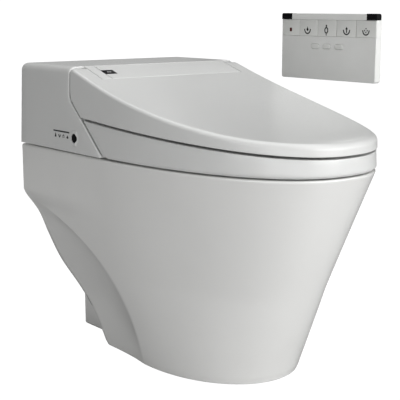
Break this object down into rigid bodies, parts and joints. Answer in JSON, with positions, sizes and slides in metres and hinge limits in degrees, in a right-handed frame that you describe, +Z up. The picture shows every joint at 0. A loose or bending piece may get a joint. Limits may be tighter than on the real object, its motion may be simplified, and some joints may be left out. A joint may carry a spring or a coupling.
{
  "type": "electric bidet toilet",
  "caption": "Floor-standing skirted toilet with an electric bidet seat: flat rear housing, heated seat and lid on one hinge line, sliding wash nozzles and a flat wall remote.",
  "frame": {"origin": "on the floor, on the centre line, 347 mm ahead of the wall, on the underside of the floor bracket", "axes": "+Z up; +Y from the nose back to the wall; +X to the user's left when seated, the side that the remote is on"},
  "size_m": [0.5242, 0.6953, 0.6378],
  "materials": {
    "glaze": "white gloss glaze",
    "white_plastic": "smooth white gloss moulding",
    "pale_plastic": "satin pale grey-white",
    "black_gloss": "black gloss",
    "rubber": "matt dark grey",
    "steel": "fine brushed",
    "board": "green coated board",
    "grey_plastic": "matt dark grey moulding"
  },
  "bodies": {
    "root": {"ceramic_pan": "glaze", "floor_bracket": "steel", "mounting_plate": "steel", "mounting_bolt_left": "steel", "mounting_bolt_right": "steel", "hinge_pin_left": "steel", "hinge_pin_right": "steel", "inlet_connector": "steel", "outlet_connector": "rubber", "mounting_nut_left": "rubber", "mounting_nut_right": "rubber", "cord_gland": "rubber", "rear_housing": "white_plastic", "center_cover": "white_plastic", "hinge_end_cap": "white_plastic", "side_bezel": "white_plastic", "display_window": "black_gloss", "flush_valve": "pale_plastic", "base_tray": "pale_plastic", "water_tank": "pale_plastic", "deodorizer_filter": "pale_plastic", "remote_wall_holder": "pale_plastic", "hinge_damper_left": "grey_plastic", "hinge_damper_right": "grey_plastic", "nozzle_guide": "grey_plastic", "nozzle_motor": "grey_plastic", "water_heater": "grey_plastic", "water_pump": "grey_plastic", "inlet_valve": "grey_plastic", "dryer_fan_housing": "grey_plastic", "dryer_duct": "grey_plastic", "control_board": "board", "power_board": "board"},
    "seat": {"seat_top": "white_plastic", "seat_bottom": "white_plastic", "seat_heater": "steel", "seat_bumper_front_left": "rubber", "seat_bumper_front_right": "rubber", "seat_bumper_rear_left": "rubber", "seat_bumper_rear_right": "rubber"},
    "lid": {"lid_shell": "white_plastic", "lid_liner": "white_plastic", "lid_bumper_left": "rubber", "lid_bumper_right": "rubber"},
    "nozzle_rear": {"nozzle_rear_wash": "steel"},
    "nozzle_front": {"nozzle_front_wash": "steel"},
    "side_button": {"side_button": "black_gloss"},
    "fan_rotor": {"dryer_fan_rotor": "pale_plastic"},
    "remote": {"remote_body": "pale_plastic", "remote_back_cover": "pale_plastic", "remote_cap_left": "black_gloss", "remote_cap_right": "black_gloss"},
    "key_stop": {"remote_key_stop": "pale_plastic"},
    "key_rear_wash": {"remote_key_rear_wash": "pale_plastic"},
    "key_front_wash": {"remote_key_front_wash": "pale_plastic"},
    "key_turbo_wash": {"remote_key_turbo_wash": "pale_plastic"},
    "key_dryer": {"remote_key_dryer": "pale_plastic"},
    "button_minus": {"remote_button_minus": "pale_plastic"},
    "button_mode": {"remote_button_mode": "pale_plastic"},
    "button_plus": {"remote_button_plus": "pale_plastic"}
  },
  "joints": [
    {"name": "hinge_seat", "type": "hinge", "parent": "root", "child": "seat", "pos_m": [0, 0.161, 0.53], "axis": [-1, 0, 0], "range_deg": [0, 95]},
    {"name": "hinge_lid", "type": "hinge", "parent": "seat", "child": "lid", "pos_m": [0, 0.161, 0.53], "axis": [1, 0, 0], "range_deg": [-105, 0]},
    {"name": "nozzle_rear_slide", "type": "slide", "parent": "root", "child": "nozzle_rear", "axis": [0, -0.9272, -0.3746], "range_m": [0, 0.125]},
    {"name": "nozzle_front_slide", "type": "slide", "parent": "root", "child": "nozzle_front", "axis": [0, -0.9272, -0.3746], "range_m": [0, 0.125]},
    {"name": "dryer_fan_spin", "type": "hinge", "parent": "root", "child": "fan_rotor", "pos_m": [-0.054, 0.215, 0.436], "axis": [1, 0, 0], "continuous": true},
    {"name": "side_button_press", "type": "slide", "parent": "root", "child": "side_button", "axis": [1, 0, 0], "range_m": [0, 0.0015], "stiffness_N_per_m": 400},
    {"name": "remote_pull_off", "type": "slide", "parent": "root", "child": "remote", "axis": [-1, 0, 0], "range_m": [0, 0.03]},
    {"name": "remote_key_stop_press", "type": "slide", "parent": "remote", "child": "key_stop", "axis": [1, 0, 0], "range_m": [0, 0.0008], "stiffness_N_per_m": 400},
    {"name": "remote_key_rear_wash_press", "type": "slide", "parent": "remote", "child": "key_rear_wash", "axis": [1, 0, 0], "range_m": [0, 0.0008], "stiffness_N_per_m": 400},
    {"name": "remote_key_front_wash_press", "type": "slide", "parent": "remote", "child": "key_front_wash", "axis": [1, 0, 0], "range_m": [0, 0.0008], "stiffness_N_per_m": 400},
    {"name": "remote_key_turbo_wash_press", "type": "slide", "parent": "remote", "child": "key_turbo_wash", "axis": [1, 0, 0], "range_m": [0, 0.0008], "stiffness_N_per_m": 400},
    {"name": "remote_key_dryer_press", "type": "slide", "parent": "remote", "child": "key_dryer", "axis": [1, 0, 0], "range_m": [0, 0.0008], "stiffness_N_per_m": 400},
    {"name": "remote_button_minus_press", "type": "slide", "parent": "remote", "child": "button_minus", "axis": [1, 0, 0], "range_m": [0, 0.0008], "stiffness_N_per_m": 400},
    {"name": "remote_button_mode_press", "type": "slide", "parent": "remote", "child": "button_mode", "axis": [1, 0, 0], "range_m": [0, 0.0008], "stiffness_N_per_m": 400},
    {"name": "remote_button_plus_press", "type": "slide", "parent": "remote", "child": "button_plus", "axis": [1, 0, 0], "range_m": [0, 0.0008], "stiffness_N_per_m": 400}
  ]
}
